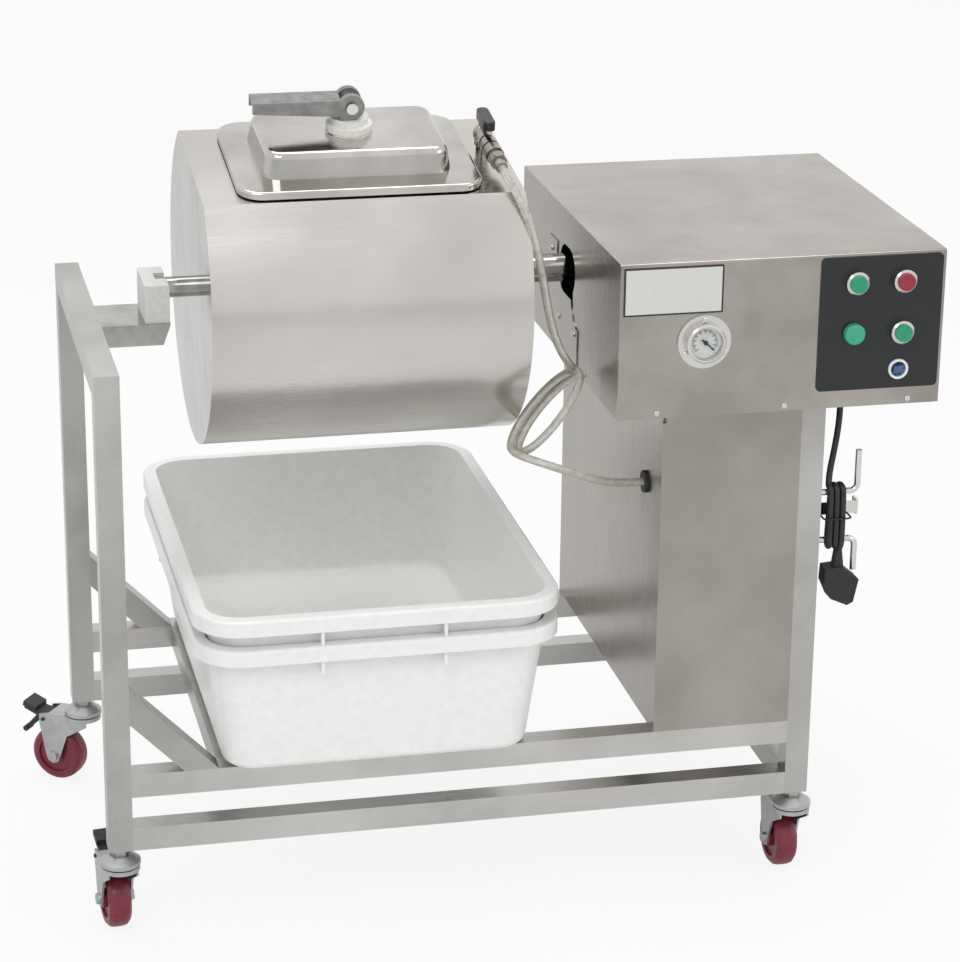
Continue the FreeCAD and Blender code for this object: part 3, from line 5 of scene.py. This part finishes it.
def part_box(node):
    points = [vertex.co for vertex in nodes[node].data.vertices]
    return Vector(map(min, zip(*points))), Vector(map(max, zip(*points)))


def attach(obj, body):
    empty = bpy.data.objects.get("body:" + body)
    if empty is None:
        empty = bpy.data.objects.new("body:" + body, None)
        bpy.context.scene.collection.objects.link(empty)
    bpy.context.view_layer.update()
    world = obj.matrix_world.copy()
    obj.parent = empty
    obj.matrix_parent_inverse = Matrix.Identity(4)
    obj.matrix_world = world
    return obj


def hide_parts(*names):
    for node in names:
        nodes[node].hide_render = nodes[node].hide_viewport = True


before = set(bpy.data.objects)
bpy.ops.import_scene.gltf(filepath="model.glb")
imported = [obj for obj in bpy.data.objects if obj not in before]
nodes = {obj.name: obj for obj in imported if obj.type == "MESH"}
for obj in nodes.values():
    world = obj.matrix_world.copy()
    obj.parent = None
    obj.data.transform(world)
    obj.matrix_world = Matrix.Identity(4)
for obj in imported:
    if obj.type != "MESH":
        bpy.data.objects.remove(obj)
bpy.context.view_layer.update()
scene = bpy.context.scene
scene.view_settings.view_transform = "Standard"

# ---------------------------------------------------------------- places
CX, CY, H = 480.934, 252.0, 124.0        # the part's drawing origin, in mm
TILT = math.radians(9.5)


def P(x, y, z):
    """A point from the part's drawing axes (mm) in the frame (m)."""
    return Vector(((x - CX) / 1000, (y - CY) / 1000, (z + H) / 1000))


def D(x, v, w):
    """The same from the drum's axes: across the flat and up from the axis."""
    c, s = math.cos(TILT), math.sin(TILT)
    return P(x, 242 + v * c - w * s, 641 + v * s + w * c)


# ---------------------------------------------------------------- camera
cam = bpy.data.objects.new("camera", bpy.data.cameras.new("camera"))
scene.collection.objects.link(cam)
yaw, pitch, roll = 0.22309, -0.34562, 0.0117
fwd = Vector((math.sin(yaw) * math.cos(pitch), math.cos(yaw) * math.cos(pitch), math.sin(pitch)))
right = Vector((math.cos(yaw), -math.sin(yaw), 0))
up = right.cross(fwd)
right, up = (right * math.cos(roll) + up * math.sin(roll), up * math.cos(roll) - right * math.sin(roll))
rot = Matrix((right, up, -fwd)).transposed().to_4x4()
cam.matrix_world = Matrix.Translation(P(-311.79502, -3391.91607, 1702.98814)) @ rot
cam.data.sensor_width = 36.0
cam.data.lens = 3083.21994 / 962 * 36
cam.data.clip_end = 100
scene.camera = cam


# ---------------------------------------------------------------- material tools
def lin(c):
    return tuple((v / 255 / 12.92 if v / 255 <= 0.04045 else ((v / 255 + 0.055) / 1.055) ** 2.4) for v in c) + (1.0,)


class Mat:
    """A node material on one Principled shader."""

    def __init__(self, name, color, metallic=0.0, rough=0.5, **sockets):
        self.m = bpy.data.materials.new(name)
        self.m.use_nodes = True
        self.t = self.m.node_tree
        self.b = self.t.nodes["Principled BSDF"]
        self.b.inputs["Base Color"].default_value = lin(color)
        self.b.inputs["Metallic"].default_value = metallic
        self.b.inputs["Roughness"].default_value = rough
        for k, v in sockets.items():
            self.b.inputs[k.replace("_", " ")].default_value = v
        self.color, self.rough = color, rough
        self.co = self.t.nodes.new("ShaderNodeTexCoord").outputs["Object"]
        self.normal = None

    def node(self, kind, **props):
        n = self.t.nodes.new(kind)
        for k, v in props.items():
            setattr(n, k, v)
        return n

    def link(self, a, b):
        self.t.links.new(a, b)

    def mapped(self, scale, turn=(0, 0, 0)):
        n = self.node("ShaderNodeMapping")
        n.inputs["Scale"].default_value = scale
        n.inputs["Rotation"].default_value = turn
        self.link(self.co, n.inputs["Vector"])
        return n.outputs["Vector"]

    def noise(self, scale, detail=3.0, stretch=(1, 1, 1), rough=0.5, turn=(0, 0, 0)):
        n = self.node("ShaderNodeTexNoise")
        n.inputs["Scale"].default_value = scale
        n.inputs["Detail"].default_value = detail
        n.inputs["Roughness"].default_value = rough
        self.link(self.mapped(stretch, turn), n.inputs["Vector"])
        return n.outputs["Fac"]

    def ramp(self, fac, lo, hi, a, b):
        n = self.node("ShaderNodeMapRange")
        n.inputs["From Min"].default_value = lo
        n.inputs["From Max"].default_value = hi
        n.inputs["To Min"].default_value = a
        n.inputs["To Max"].default_value = b
        self.link(fac, n.inputs["Value"])
        return n.outputs["Result"]

    def tint(self, fac, lo, hi, dark, light):
        """Base colour between two colours by a texture."""
        n = self.node("ShaderNodeMix", data_type="RGBA")
        n.inputs["A"].default_value = lin(dark)
        n.inputs["B"].default_value = lin(light)
        self.link(self.ramp(fac, lo, hi, 0, 1), n.inputs["Factor"])
        self.link(n.outputs["Result"], self.b.inputs["Base Color"])
        return n

    def axis(self, i):
        n = self.node("ShaderNodeSeparateXYZ")
        self.link(self.co, n.inputs["Vector"])
        return n.outputs[i]

    def math(self, op, a, b=0.0):
        n = self.node("ShaderNodeMath", operation=op)
        for socket, v in zip(n.inputs, (a, b)):
            if isinstance(v, (int, float)):
                socket.default_value = v
            else:
                self.link(v, socket)
        return n.outputs[0]

    def outside(self, mid_x, half_x, mid_z, half_z):
        """1 outside a rectangle on a face square to Y, 0 inside."""
        dx = self.math("SUBTRACT", self.math("ABSOLUTE", self.math("SUBTRACT", self.axis(0), mid_x)), half_x)
        dz = self.math("SUBTRACT", self.math("ABSOLUTE", self.math("SUBTRACT", self.axis(2), mid_z)), half_z)
        return self.math("GREATER_THAN", self.math("MAXIMUM", dx, dz), 0.0)

    def over(self, fac, color):
        """A further colour over what Base Color already has."""
        src = self.b.inputs["Base Color"]
        n = self.node("ShaderNodeMix", data_type="RGBA")
        if src.links:
            self.link(src.links[0].from_socket, n.inputs["A"])
        else:
            n.inputs["A"].default_value = src.default_value
        n.inputs["B"].default_value = lin(color)
        self.link(fac, n.inputs["Factor"])
        self.link(n.outputs["Result"], self.b.inputs["Base Color"])

    def roughness(self, fac, lo, hi, a, b):
        self.link(self.ramp(fac, lo, hi, a, b), self.b.inputs["Roughness"])

    def bump(self, fac, height, distance=0.001):
        n = self.node("ShaderNodeBump")
        n.inputs["Strength"].default_value = height
        n.inputs["Distance"].default_value = distance
        self.link(fac, n.inputs["Height"])
        if self.normal is not None:
            self.link(self.normal, n.inputs["Normal"])
        self.normal = n.outputs["Normal"]
        self.link(self.normal, self.b.inputs["Normal"])


def brushed(name, dark, light, rough, axis, grain=900.0, depth=0.05, cloud=6.0):
    """Stainless sheet or tube, brushed along one axis, with clouding and the odd scuff."""
    m = Mat(name, light, 1.0, rough)
    stretch = [1.0, 1.0, 1.0]
    for i in range(3):
        stretch[i] = 0.015 if i == axis else 1.0
    fine = m.noise(grain, 2.0, stretch, 0.6)
    broad = m.noise(cloud, 3.0, (1, 1, 1), 0.55)
    m.tint(broad, 0.3, 0.7, dark, light)
    add = m.node("ShaderNodeMath", operation="ADD")
    m.link(m.ramp(fine, 0.3, 0.7, -0.05, 0.05), add.inputs[0])
    m.link(m.ramp(broad, 0.35, 0.65, rough - 0.03, rough + 0.05), add.inputs[1])
    m.link(add.outputs[0], m.b.inputs["Roughness"])
    m.bump(fine, depth, 0.0002)
    return m


def plastic(name, color, rough=0.4, speck=0.03, scale=300.0, bump=0.05, **kw):
    m = Mat(name, color, 0.0, rough, **kw)
    n = m.noise(scale, 3.0)
    dark = tuple(max(0, c * (1 - speck)) for c in color)
    light = tuple(min(255, c * (1 + speck) + 1) for c in color)
    m.tint(n, 0.3, 0.7, dark, light)
    m.roughness(m.noise(scale * 0.1, 3.0), 0.3, 0.7, rough - 0.04, rough + 0.06)
    m.bump(n, bump, 0.0002)
    return m


M = {}
# the frame is one stainless throughout; its three copies differ in colour only as painted light and shade: rails
# along X painted lightest, braces along Y painted darkest in shade, posts painted in between
M["frame_x"] = brushed("frame_x", (176, 174, 170), (202, 200, 196), 0.30, 0)
M["frame_y"] = brushed("frame_y", (158, 156, 152), (184, 182, 178), 0.30, 1)
M["frame_z"] = brushed("frame_z", (166, 164, 160), (194, 192, 188), 0.30, 2)
M["sheet"] = brushed("sheet", (148, 143, 136), (170, 165, 158), 0.26, 2, depth=0.03)
M["cover"] = brushed("cover", (150, 145, 139), (176, 171, 165), 0.16, 0, depth=0.02, cloud=9.0)
M["drum"] = brushed("drum", (190, 186, 181), (214, 211, 207), 0.22, 0, depth=0.04, cloud=3.0)
M["polished"] = brushed("polished", (128, 127, 124), (186, 184, 180), 0.10, 2, depth=0.01, cloud=14.0)
M["lid"] = brushed("lid", (178, 175, 170), (204, 201, 197), 0.13, 0, depth=0.012, cloud=12.0)
M["bright"] = brushed("bright", (200, 198, 195), (222, 220, 217), 0.16, 1, depth=0.01)
M["nickel"] = brushed("nickel", (150, 146, 138), (172, 168, 160), 0.24, 1, depth=0.02)
M["zinc"] = brushed("zinc", (168, 168, 168), (190, 190, 190), 0.38, 2, grain=200, depth=0.02, cloud=40)
M["cast"] = Mat("cast", (150, 149, 147), 1.0, 0.42)
M["cast"].tint(M["cast"].noise(60, 4.0), 0.3, 0.7, (128, 127, 126), (160, 159, 157))
M["cast"].bump(M["cast"].noise(1400, 2.0), 0.15, 0.0002)
M["grey_paint"] = plastic("grey_paint", (88, 94, 100), 0.45, 0.06, 200)
M["white"] = plastic("white", (226, 225, 220), 0.42)
M["black"] = plastic("black", (26, 28, 31), 0.30, 0.08)
M["panel"] = plastic("panel", (24, 27, 31), 0.26, 0.06, 500, 0.02)
M["green"] = plastic("green", (34, 150, 112), 0.32)
M["red"] = plastic("red", (150, 44, 58), 0.34)
M["lamp"] = plastic("lamp", (70, 190, 150), 0.18, Transmission_Weight=0.25)
M["rubber"] = plastic("rubber", (34, 34, 35), 0.62, 0.10, 400, 0.12)
M["cable"] = plastic("cable", (30, 31, 33), 0.46, 0.10, 700, 0.06)
M["tyre"] = plastic("tyre", (120, 34, 52), 0.36, 0.08, 250, 0.05)
M["hub"] = plastic("hub", (178, 177, 174), 0.50, 0.04)
M["pedal"] = plastic("pedal", (38, 40, 43), 0.55, 0.1, 300, 0.15)
M["tub"] = plastic("tub", (244, 244, 242), 0.34, 0.01, 90, 0.03, Subsurface_Weight=0.25)
M["tub"].b.inputs["Subsurface Radius"].default_value = (0.01, 0.01, 0.01)
M["gasket"] = plastic("gasket", (30, 30, 31), 0.55, 0.08)
M["dial"] = plastic("dial", (238, 238, 234), 0.5, 0.01)
M["rocker_blue"] = plastic("rocker_blue", (62, 96, 138), 0.22, 0.08)
M["switch"] = plastic("switch", (26, 28, 31), 0.30, 0.08)
M["switch"].over(M["switch"].math("LESS_THAN", M["switch"].axis(2), 0.712), (232, 234, 236))
lo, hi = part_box("name_plate")
M["label"] = plastic("label", (214, 214, 210), 0.35, 0.01)
M["label"].over(M["label"].outside((lo[0] + hi[0]) / 2, (hi[0] - lo[0]) / 2 - 0.0022,
                                   (lo[2] + hi[2]) / 2, (hi[2] - lo[2]) / 2 - 0.0022), (44, 46, 52))
M["glass"] = Mat("glass", (250, 252, 252), 0.0, 0.03, Transmission_Weight=1.0, IOR=1.2)
M["hose"] = Mat("hose", (226, 224, 214), 0.0, 0.12, Transmission_Weight=0.55, IOR=1.35)
n_ = M["hose"].noise(120, 2.0)
M["hose"].tint(n_, 0.3, 0.7, (206, 203, 192), (232, 231, 224))
M["hose"].roughness(n_, 0.3, 0.7, 0.08, 0.2)


def paint(name, *mats):
    o = nodes[name]
    while len(o.data.materials) < len(mats):
        o.data.materials.append(None)
    for i in range(len(o.data.materials)):
        o.data.materials[i] = M[mats[min(i, len(mats) - 1)]].m


skins = {
    "frame_posts": "frame_z", "long_rails": "frame_x", "cross_braces": "frame_y", "bearing_shelf": "polished",
    "bearing_block": "white", "column_frame": "frame_z", "column_panels": "sheet", "hose_grommet": "rubber",
    "panel_screws": "bright", "head_base": "sheet", "slot_plate": "sheet", "head_cover": "cover",
    "control_panel": "panel", "button_bezels": "bright", "switch_bodies": "switch", "pilot_lamp": "lamp",
    "vacuum_button": "green", "stop_button": "red", "start_button": "green", "rocker": "rocker_blue",
    "name_plate": "label", "gauge_case": "bright", "gauge_dial": "dial", "gauge_lens": "glass",
    "gauge_pointer": "black", "shaft_bearings": "grey_paint", "gear_motor": "grey_paint",
    "vacuum_pump": "grey_paint", "drum_shell": "drum", "drum_ends": "polished", "drum_shafts": "polished",
    "drum_fins": "drum", "vacuum_valve": "nickel", "valve_handle": "black", "hose_coupler": "nickel",
    "lid_pan": "lid", "lid_gasket": "gasket", "clamp_washer": "white", "clamp_bar": "bright",
    "clamp_lever": "cast", "lower_tub": "tub", "upper_tub": "tub", "caster_mounts": "zinc",
    "cord_hooks": "bright", "cord_gland": "black", "cord_hank": "cable", "power_cord": "cable",
    "power_plug": "rubber", "vacuum_hose": "hose"}
for k in ("fl", "bl", "fr", "br"):
    skins["fork_" + k] = "zinc"
    skins["wheel_" + k] = "tyre"
for k in ("fl", "bl"):
    skins["pedal_" + k] = "pedal"
for name, skin in skins.items():
    paint(name, skin)


# ---------------------------------------------------------------- cords
def spline_curve(name, points, radius, mat):
    cu = bpy.data.curves.new(name, "CURVE")
    cu.dimensions = "3D"
    sp = cu.splines.new("NURBS")
    sp.points.add(len(points) - 1)
    for p, q in zip(sp.points, points):
        p.co = (*q, 1.0)
    sp.order_u = 3
    sp.use_endpoint_u = True
    sp.resolution_u = 8
    cu.bevel_depth = radius
    cu.bevel_resolution = 5
    cu.use_fill_caps = True
    cu.materials.append(mat.m)
    o = bpy.data.objects.new(name, cu)
    scene.collection.objects.link(o)
    return o


def centreline(obj):
    """The spline's own line, read from the curve with no bevel."""
    depth = obj.data.bevel_depth
    obj.data.bevel_depth = 0
    dg = bpy.context.evaluated_depsgraph_get()
    dg.update()
    me = bpy.data.meshes.new_from_object(obj.evaluated_get(dg), depsgraph=dg)
    obj.data.bevel_depth = depth
    pts = [v.co.copy() for v in me.vertices]
    bpy.data.meshes.remove(me)
    return pts


def run_length(pts):
    return sum((b - a).length for a, b in zip(pts, pts[1:]))


def loop_point(k):
    r = 60.0 / math.cos(math.pi / 8)
    a = math.radians(30.0 + 45.0 * k)
    lean, facing = math.radians(50.0), math.radians(7.0)
    e1 = (math.cos(lean), 0.0, math.sin(lean))
    e2 = (math.sin(facing) * math.sin(lean), math.cos(facing), -math.sin(facing) * math.cos(lean))
    mid = (567.0 - 1.1 * k, 80.0, 502.0 + 0.8 * k)
    return tuple(mid[i] + r * (math.cos(a) * e1[i] + math.sin(a) * e2[i]) for i in range(3))


dip, yaw_c = math.radians(8.0), math.radians(5.0)
line = (math.sin(yaw_c) * math.cos(dip), -math.cos(yaw_c) * math.cos(dip), -math.sin(dip))
hose_points = [D(504.5 + line[0] * t, -22.0 + line[1] * t, 185.0 + line[2] * t) for t in (50.5, 88.0)]
hose_points += [P(*p) for p in [
    (521.5, 88.0, 776.0), (533.0, 71.0, 744.0), (541.5, 62.0, 706.0), (548.0, 58.5, 666.0),
    (556.0, 60.0, 627.0), (568.0, 66.0, 592.0), (587.5, 84.0, 562.0)]]
hose_points += [P(*loop_point(k)) for k in range(12)]
hose_points += [P(*p) for p in [
    (512.0, 62.0, 462.0), (527.0, 34.0, 462.0), (552.0, 23.0, 455.0), (581.0, 25.0, 443.0),
    (610.0, 37.0, 429.0), (638.0, 53.5, 417.0), (668.0, 68.0, 411.0), (700.0, 68.0, 411.0)]]
hose = spline_curve("hose_line", hose_points, 0.005, M["hose"])
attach(hose, "frame")
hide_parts("vacuum_hose")
run_length(centreline(hose))

HOOK_Y, HOOK_LOW, HOOK_HIGH = 15.0, 338.0, 401.0
WRAP_R = 8.4                     # a turn's own line round the two hooks
WRAP_STEP = 8.0
WRAP_POINTS = 12


def wrap_point(k):
    """Corner k of the turns: over the top hook, down the front and round the lower one."""
    r = WRAP_R / math.cos(math.radians(18.0))
    i = k % WRAP_POINTS
    x = 902.0 + WRAP_STEP * k / WRAP_POINTS
    a = math.radians(18.0 + 36.0 * (i if i < 5 else i - 1 if i < 10 else 0))
    if i >= 10:                  # the rise up the back
        return x, HOOK_Y + WRAP_R, HOOK_LOW + (HOOK_HIGH - HOOK_LOW) * (i - 9.5) / 2
    mid = HOOK_HIGH if i < 5 else HOOK_LOW
    if i < 5:
        return x, HOOK_Y + r * math.cos(a), mid + r * math.sin(a)
    a = math.radians(180.0 + 18.0 + 36.0 * (i - 5))
    return x, HOOK_Y + r * math.cos(a), mid + r * math.sin(a)


cord_points = [P(*p) for p in [(924.0, 44.0, 535.0), (924.0, 44.0, 505.0), (920.5, 37.0, 479.0),
                               (914.0, 29.0, 453.0), (907.0, 22.5, 427.0)]]
cord_points += [P(*wrap_point(k)) for k in range(2, WRAP_POINTS * 2 + 6)]
cord_points += [P(*p) for p in [(920.6, 9.5, 329.0), (920.0, 15.0, 318.0)]]
cord = spline_curve("mains_cord", cord_points, 0.004, M["cable"])
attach(cord, "frame")
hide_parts("power_cord", "cord_hank")
run_length(centreline(cord))

# the tie round the coil
tie = bpy.data.curves.new("cord_tie", "CURVE")
tie.dimensions = "3D"
sp = tie.splines.new("POLY")
tie_points = []
for cx_, cy_, a0 in ((926.5, 23.0, 0), (901.5, 23.0, 90), (901.5, 7.0, 180), (926.5, 7.0, 270)):
    for step in range(4):
        a = math.radians(a0 + 30 * step)
        tie_points.append(P(cx_ + 5.2 * math.cos(a), cy_ + 5.2 * math.sin(a), 369.0))
sp.points.add(len(tie_points) - 1)
for q, w in zip(sp.points, tie_points):
    q.co = (*w, 1.0)
sp.use_cyclic_u = True
tie.bevel_depth = 0.0012
tie.bevel_resolution = 3
tie.materials.append(M["rubber"].m)
tie_o = bpy.data.objects.new("cord_tie", tie)
scene.collection.objects.link(tie_o)
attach(tie_o, "frame")


# ---------------------------------------------------------------- dial marks
def dial_marks():
    """Radial marks on the gauge's dial, long ones every fifth."""
    bm_ = bmesh.new()
    for i in range(51):
        a = math.radians(-135.0 + 270.0 * i / 50)
        long_ = i % 5 == 0
        r0, r1, w = (11.0 if long_ else 13.2), 16.0, (0.45 if long_ else 0.2)
        out, side = (math.sin(a), math.cos(a)), (math.cos(a), -math.sin(a))
        vs = []
        for dy in (-24.06, -24.01):
            for r, t in ((r0, -w), (r1, -w), (r1, w), (r0, w)):
                vs.append(bm_.verts.new(P(725 + out[0] * r + side[0] * t, dy, 617 + out[1] * r + side[1] * t)))
        for f in ((0, 1, 2, 3), (7, 6, 5, 4), (0, 4, 5, 1), (1, 5, 6, 2), (2, 6, 7, 3), (3, 7, 4, 0)):
            bm_.faces.new([vs[j] for j in f])
    bmesh.ops.recalc_face_normals(bm_, faces=bm_.faces)
    me_ = bpy.data.meshes.new("dial_marks")
    bm_.to_mesh(me_)
    bm_.free()
    me_.materials.append(M["black"].m)
    o = bpy.data.objects.new("dial_marks", me_)
    scene.collection.objects.link(o)
    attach(o, "frame")


dial_marks()


# ---------------------------------------------------------------- stage and light
world = bpy.data.worlds.new("world")
scene.world = world
world.use_nodes = True
wt = world.node_tree
bg = wt.nodes["Background"]
bg.inputs["Color"].default_value = (1, 1, 1, 1)
bg.inputs["Strength"].default_value = 1.0
lp = wt.nodes.new("ShaderNodeLightPath")
amb = wt.nodes.new("ShaderNodeBackground")
amb.inputs["Color"].default_value = (0.98, 0.99, 1.0, 1)
amb.inputs["Strength"].default_value = 0.66
mx = wt.nodes.new("ShaderNodeMixShader")
mp = wt.nodes.new("ShaderNodeMath")
mp.operation = "MAXIMUM"
wt.links.new(lp.outputs["Is Camera Ray"], mp.inputs[0])
wt.links.new(lp.outputs["Is Transmission Ray"], mp.inputs[1])
mg = wt.nodes.new("ShaderNodeMath")
mg.operation = "MAXIMUM"
wt.links.new(mp.outputs[0], mg.inputs[0])
wt.links.new(lp.outputs["Is Glossy Ray"], mg.inputs[1])
wt.links.new(mg.outputs[0], mx.inputs[0])
wt.links.new(amb.outputs[0], mx.inputs[1])
wt.links.new(bg.outputs[0], mx.inputs[2])
wt.links.new(mx.outputs[0], wt.nodes["World Output"].inputs["Surface"])

me = bpy.data.meshes.new("floor")
bm = bmesh.new()
bmesh.ops.create_grid(bm, x_segments=2, y_segments=2, size=9.0)
bm.to_mesh(me); bm.free()
floor = bpy.data.objects.new("floor", me)
scene.collection.objects.link(floor)
floor.location.z = -0.0005
fm = Mat("floor", (236, 236, 236), 0.0, 0.9)
fn = fm.noise(0.8, 2.0)
fm.tint(fn, 0.3, 0.7, (240, 240, 239), (243, 243, 243))
# seen by the camera and in metal the floor is nearly white, and it keeps the shadow
seen = fm.node("ShaderNodeLightPath")
white = fm.node("ShaderNodeEmission")
white.inputs["Strength"].default_value = 1.0
blend = fm.node("ShaderNodeMixShader")
direct = fm.math("MAXIMUM", seen.outputs["Is Camera Ray"], seen.outputs["Is Transmission Ray"])
direct = fm.math("MULTIPLY", direct, 0.86)
glossy = fm.math("MULTIPLY", seen.outputs["Is Glossy Ray"], 0.35)
fm.link(fm.math("MAXIMUM", direct, glossy), blend.inputs[0])
fm.link(fm.b.outputs[0], blend.inputs[1])
fm.link(white.outputs[0], blend.inputs[2])
fm.link(blend.outputs[0], fm.t.nodes["Material Output"].inputs["Surface"])
me.materials.append(fm.m)


def area(name, loc, target, size, power, size_y=None):
    li = bpy.data.lights.new(name, "AREA")
    li.shape = "RECTANGLE"
    li.size, li.size_y, li.energy = size, size_y or size, power
    o = bpy.data.objects.new(name, li)
    scene.collection.objects.link(o)
    o.location = loc
    o.rotation_euler = (Vector(target) - Vector(loc)).to_track_quat("-Z", "Y").to_euler()
    return o


area("key", (-1.6, -2.6, 3.4), (0, 0, 0.5), 2.4, 40, 1.6)
area("top", (0.2, 0.4, 3.6), (0, 0, 0.6), 3.0, 34, 1.0)
area("fill", (3.0, -2.2, 1.8), (0.2, 0, 0.6), 1.8, 14)

bpy.context.view_layer.update()
